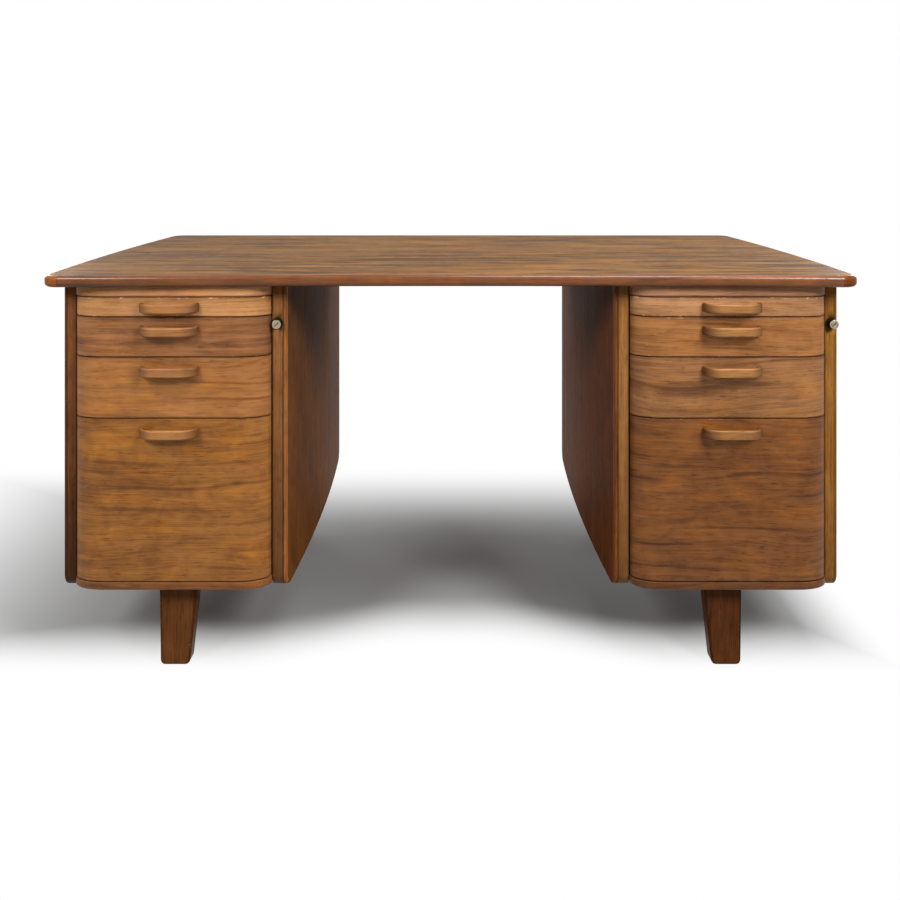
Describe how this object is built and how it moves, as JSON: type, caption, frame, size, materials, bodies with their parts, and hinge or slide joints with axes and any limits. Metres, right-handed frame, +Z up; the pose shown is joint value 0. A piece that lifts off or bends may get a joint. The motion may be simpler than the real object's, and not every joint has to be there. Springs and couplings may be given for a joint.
{
  "type": "twin-pedestal desk",
  "caption": "Wooden writing desk: a broad lipped top on bow-sided pedestals of bent-front drawers with bentwood handles, push locks and short tapered legs.",
  "frame": {"origin": "on the floor, below the middle of the top", "axes": "+X along the desk's length to the sitter's right, +Y from the drawer fronts to the back, +Z up"},
  "size_m": [1.55, 0.75, 0.76],
  "materials": {
    "top_veneer": "varnished, lengthwise grain in several leaves",
    "lipping_wood": "varnished solid wood, reddish brown",
    "side_veneer": "varnished, upright grain",
    "stile_wood": "varnished solid wood, golden brown",
    "front_light": "varnished, level grain, light golden",
    "front_dark": "varnished, level grain, reddish brown",
    "front_mid": "varnished, level grain, mid brown",
    "front_warm": "varnished, figured level grain, warm brown",
    "handle_wood": "varnished bent wood, golden brown",
    "leg_wood": "varnished solid wood, dark brown",
    "drawer_wood": "plain, lightly sealed",
    "frame_wood": "plain, lightly sealed",
    "nickel": "worn nickel plating, satin",
    "dark_brass": "tarnished, satin",
    "steel": "bare, satin"
  },
  "bodies": {
    "root": {"top_panel": "top_veneer", "top_lipping_front": "lipping_wood", "top_lipping_rear": "lipping_wood", "top_lipping_left": "lipping_wood", "top_lipping_right": "lipping_wood", "left_inner_side_panel": "side_veneer", "left_outer_side_panel": "side_veneer", "left_inner_stile": "stile_wood", "left_outer_stile": "stile_wood", "left_top_rail": "stile_wood", "left_rear_rail": "frame_wood", "left_bottom_board": "stile_wood", "left_back_panel": "side_veneer", "left_inner_runner_board": "frame_wood", "left_outer_runner_board": "frame_wood", "left_front_leg": "leg_wood", "left_rear_leg": "leg_wood", "left_lock_housing": "dark_brass", "right_inner_side_panel": "side_veneer", "right_outer_side_panel": "side_veneer", "right_inner_stile": "stile_wood", "right_outer_stile": "stile_wood", "right_top_rail": "stile_wood", "right_rear_rail": "frame_wood", "right_bottom_board": "stile_wood", "right_back_panel": "side_veneer", "right_inner_runner_board": "frame_wood", "right_outer_runner_board": "frame_wood", "right_front_leg": "leg_wood", "right_rear_leg": "leg_wood", "right_lock_housing": "dark_brass"},
    "left_lock_bar_body": {"left_lock_bar": "steel"},
    "left_lock_plunger_body": {"left_lock_plunger": "nickel"},
    "left_drawer_1": {"left_drawer_1_front": "front_light", "left_drawer_1_tray": "drawer_wood", "left_drawer_1_handle": "handle_wood"},
    "left_drawer_2": {"left_drawer_2_front": "front_dark", "left_drawer_2_tray": "drawer_wood", "left_drawer_2_handle": "handle_wood"},
    "left_drawer_3": {"left_drawer_3_front": "front_mid", "left_drawer_3_tray": "drawer_wood", "left_drawer_3_handle": "handle_wood"},
    "left_drawer_4": {"left_drawer_4_front": "front_warm", "left_drawer_4_tray": "drawer_wood", "left_drawer_4_handle": "handle_wood"},
    "right_lock_bar_body": {"right_lock_bar": "steel"},
    "right_lock_plunger_body": {"right_lock_plunger": "nickel"},
    "right_drawer_1": {"right_drawer_1_front": "front_light", "right_drawer_1_tray": "drawer_wood", "right_drawer_1_handle": "handle_wood"},
    "right_drawer_2": {"right_drawer_2_front": "front_dark", "right_drawer_2_tray": "drawer_wood", "right_drawer_2_handle": "handle_wood"},
    "right_drawer_3": {"right_drawer_3_front": "front_mid", "right_drawer_3_tray": "drawer_wood", "right_drawer_3_handle": "handle_wood"},
    "right_drawer_4": {"right_drawer_4_front": "front_warm", "right_drawer_4_tray": "drawer_wood", "right_drawer_4_handle": "handle_wood"}
  },
  "joints": [
    {"name": "left_lock_bar_lift", "type": "slide", "parent": "root", "child": "left_lock_bar_body", "axis": [0, 0, 1], "range_m": [0, 0.008]},
    {"name": "left_lock_push", "type": "slide", "parent": "root", "child": "left_lock_plunger_body", "axis": [0, 1, 0], "range_m": [0, 0.008]},
    {"name": "left_drawer_1_slide", "type": "slide", "parent": "root", "child": "left_drawer_1", "axis": [0, -1, 0], "range_m": [0, 0.42]},
    {"name": "left_drawer_2_slide", "type": "slide", "parent": "root", "child": "left_drawer_2", "axis": [0, -1, 0], "range_m": [0, 0.42]},
    {"name": "left_drawer_3_slide", "type": "slide", "parent": "root", "child": "left_drawer_3", "axis": [0, -1, 0], "range_m": [0, 0.42]},
    {"name": "left_drawer_4_slide", "type": "slide", "parent": "root", "child": "left_drawer_4", "axis": [0, -1, 0], "range_m": [0, 0.42]},
    {"name": "right_lock_bar_lift", "type": "slide", "parent": "root", "child": "right_lock_bar_body", "axis": [0, 0, 1], "range_m": [0, 0.008]},
    {"name": "right_lock_push", "type": "slide", "parent": "root", "child": "right_lock_plunger_body", "axis": [0, 1, 0], "range_m": [0, 0.008]},
    {"name": "right_drawer_1_slide", "type": "slide", "parent": "root", "child": "right_drawer_1", "axis": [0, -1, 0], "range_m": [0, 0.42]},
    {"name": "right_drawer_2_slide", "type": "slide", "parent": "root", "child": "right_drawer_2", "axis": [0, -1, 0], "range_m": [0, 0.42]},
    {"name": "right_drawer_3_slide", "type": "slide", "parent": "root", "child": "right_drawer_3", "axis": [0, -1, 0], "range_m": [0, 0.42]},
    {"name": "right_drawer_4_slide", "type": "slide", "parent": "root", "child": "right_drawer_4", "axis": [0, -1, 0], "range_m": [0, 0.42]}
  ],
  "couplings": [
    {"joint": "left_lock_push", "follows": "left_lock_bar_lift", "ratio": 1},
    {"joint": "right_lock_push", "follows": "right_lock_bar_lift", "ratio": 1}
  ]
}
